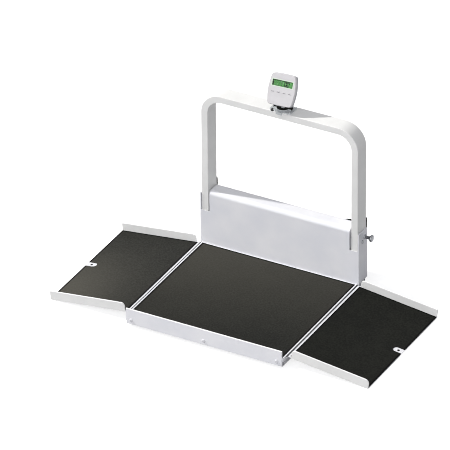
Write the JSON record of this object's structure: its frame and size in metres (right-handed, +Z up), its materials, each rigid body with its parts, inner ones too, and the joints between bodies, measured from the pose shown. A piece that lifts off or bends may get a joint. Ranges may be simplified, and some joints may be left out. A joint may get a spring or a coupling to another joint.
{
  "type": "wheelchair scale",
  "caption": "Low wheelchair weighing platform with hinged side ramps, a fold-down handrail, a rear box on castors and a tilting display head.",
  "frame": {"origin": "on the floor below the middle of the bounding box", "axes": "+X across the platform from the left ramp to the right ramp, +Y from the front lip to the castors, +Z up"},
  "size_m": [1.8486, 1.0455, 1.1551],
  "materials": {
    "white_paint": "semi-gloss powder coat",
    "frame_paint": "semi-gloss powder coat",
    "mat_rubber": "fine grained matt",
    "black_rubber": "matt",
    "tyre": "matt",
    "zinc_steel": "zinc plated",
    "bright_chrome": "polished",
    "alloy": "satin",
    "dark_plastic": "matt",
    "white_plastic": "satin",
    "grey_plastic": "matt",
    "window": "clear",
    "lcd": "glowing panel",
    "board": "matt"
  },
  "bodies": {
    "base": {"base_crossbar_left": "frame_paint", "base_crossbar_right": "frame_paint", "base_rail_front": "frame_paint", "base_rail_left": "frame_paint", "base_rail_rear": "frame_paint", "base_rail_right": "frame_paint", "castor_plates": "zinc_steel", "cover_screws": "zinc_steel", "deck_mat": "mat_rubber", "deck_plate": "white_paint", "edge_strip_left": "white_paint", "edge_strip_right": "white_paint", "foot_pads": "black_rubber", "front_lip": "white_paint", "hinge_rod_left": "zinc_steel", "hinge_rod_right": "zinc_steel", "junction_box": "dark_plastic", "level_feet": "zinc_steel", "lip_screws": "zinc_steel", "load_cells": "alloy", "pivot_bolts": "zinc_steel", "plunger_sleeve": "bright_chrome", "rear_box": "white_paint", "rear_cover": "white_paint"},
    "handrail": {"handrail_tube": "white_paint", "pivot_bushes": "dark_plastic", "post_plugs": "dark_plastic", "post_buffers": "black_rubber", "display_saddle": "zinc_steel", "saddle_screws": "zinc_steel"},
    "display_mount": {"display_yoke": "zinc_steel", "tilt_bolt": "dark_plastic"},
    "display": {"display_front": "white_plastic", "display_back": "grey_plastic", "display_seal": "black_rubber", "lcd_window": "window", "lcd_module": "lcd", "display_board": "board"},
    "plunger": {"plunger_knob": "bright_chrome"},
    "ramp_left": {"ramp_flanges_left": "white_paint", "ramp_plate_left": "white_paint", "ramp_mat_left": "mat_rubber", "ramp_glide_left": "black_rubber"},
    "ramp_right": {"ramp_flanges_right": "white_paint", "ramp_plate_right": "white_paint", "ramp_mat_right": "mat_rubber", "ramp_glide_right": "black_rubber"},
    "key_1": {"display_key_1": "grey_plastic"},
    "key_2": {"display_key_2": "grey_plastic"},
    "key_3": {"display_key_3": "grey_plastic"},
    "key_4": {"display_key_4": "grey_plastic"},
    "castor_swivel_high_left": {"castor_fork_high_left": "zinc_steel"},
    "castor_roller_high_left": {"castor_wheel_high_left": "tyre"},
    "castor_swivel_high_right": {"castor_fork_high_right": "zinc_steel"},
    "castor_roller_high_right": {"castor_wheel_high_right": "tyre"},
    "castor_swivel_low_left": {"castor_fork_low_left": "zinc_steel"},
    "castor_roller_low_left": {"castor_wheel_low_left": "tyre"},
    "castor_swivel_low_right": {"castor_fork_low_right": "zinc_steel"},
    "castor_roller_low_right": {"castor_wheel_low_right": "tyre"}
  },
  "joints": [
    {"name": "handrail_fold", "type": "hinge", "parent": "base", "child": "handrail", "pos_m": [0, 0.3405, 0.299], "axis": [1, 0, 0], "range_deg": [0, 90]},
    {"name": "display_pan", "type": "hinge", "parent": "handrail", "child": "display_mount", "pos_m": [0, 0.3495, 0.964], "axis": [0, 0, 1], "range_deg": [-90, 90]},
    {"name": "display_tilt", "type": "hinge", "parent": "display_mount", "child": "display", "pos_m": [0, 0.3495, 1.004], "axis": [0.9976, 0.0698, 0], "range_deg": [-40, 30]},
    {"name": "plunger_pull", "type": "slide", "parent": "base", "child": "plunger", "axis": [1, 0, 0], "range_m": [0, 0.008], "stiffness_N_per_m": 400},
    {"name": "ramp_left_swing", "type": "hinge", "parent": "base", "child": "ramp_left", "pos_m": [-0.4585, 0, 0.06], "axis": [0, 1, 0], "range_deg": [0, 84]},
    {"name": "ramp_right_swing", "type": "hinge", "parent": "base", "child": "ramp_right", "pos_m": [0.4585, 0, 0.06], "axis": [0, -1, 0], "range_deg": [0, 84]},
    {"name": "key_1_press", "type": "slide", "parent": "display", "child": "key_1", "axis": [-0.0627, 0.8966, -0.4384], "range_m": [0, 0.0012], "stiffness_N_per_m": 300},
    {"name": "key_2_press", "type": "slide", "parent": "display", "child": "key_2", "axis": [-0.0627, 0.8966, -0.4384], "range_m": [0, 0.0012], "stiffness_N_per_m": 300},
    {"name": "key_3_press", "type": "slide", "parent": "display", "child": "key_3", "axis": [-0.0627, 0.8966, -0.4384], "range_m": [0, 0.0012], "stiffness_N_per_m": 300},
    {"name": "key_4_press", "type": "slide", "parent": "display", "child": "key_4", "axis": [-0.0627, 0.8966, -0.4384], "range_m": [0, 0.0012], "stiffness_N_per_m": 300},
    {"name": "castor_high_left_swivel", "type": "hinge", "parent": "base", "child": "castor_swivel_high_left", "pos_m": [-0.346, 0.3955, 0.273], "axis": [0, 1, 0], "continuous": true},
    {"name": "castor_high_left_roll", "type": "hinge", "parent": "castor_swivel_high_left", "child": "castor_roller_high_left", "pos_m": [-0.346, 0.4705, 0.243], "axis": [-1, 0, 0], "continuous": true},
    {"name": "castor_high_right_swivel", "type": "hinge", "parent": "base", "child": "castor_swivel_high_right", "pos_m": [0.346, 0.3955, 0.273], "axis": [0, 1, 0], "continuous": true},
    {"name": "castor_high_right_roll", "type": "hinge", "parent": "castor_swivel_high_right", "child": "castor_roller_high_right", "pos_m": [0.31702, 0.4705, 0.28076], "axis": [0.2588, 0, 0.9659], "continuous": true},
    {"name": "castor_low_left_swivel", "type": "hinge", "parent": "base", "child": "castor_swivel_low_left", "pos_m": [-0.346, 0.3955, 0.108], "axis": [0, 1, 0], "continuous": true},
    {"name": "castor_low_left_roll", "type": "hinge", "parent": "castor_swivel_low_left", "child": "castor_roller_low_left", "pos_m": [-0.35018, 0.4705, 0.07829], "axis": [-0.9903, 0, 0.1392], "continuous": true},
    {"name": "castor_low_right_swivel", "type": "hinge", "parent": "base", "child": "castor_swivel_low_right", "pos_m": [0.346, 0.3955, 0.108], "axis": [0, 1, 0], "continuous": true},
    {"name": "castor_low_right_roll", "type": "hinge", "parent": "castor_swivel_low_right", "child": "castor_roller_low_right", "pos_m": [0.35018, 0.4705, 0.07829], "axis": [-0.9903, 0, -0.1392], "continuous": true}
  ]
}
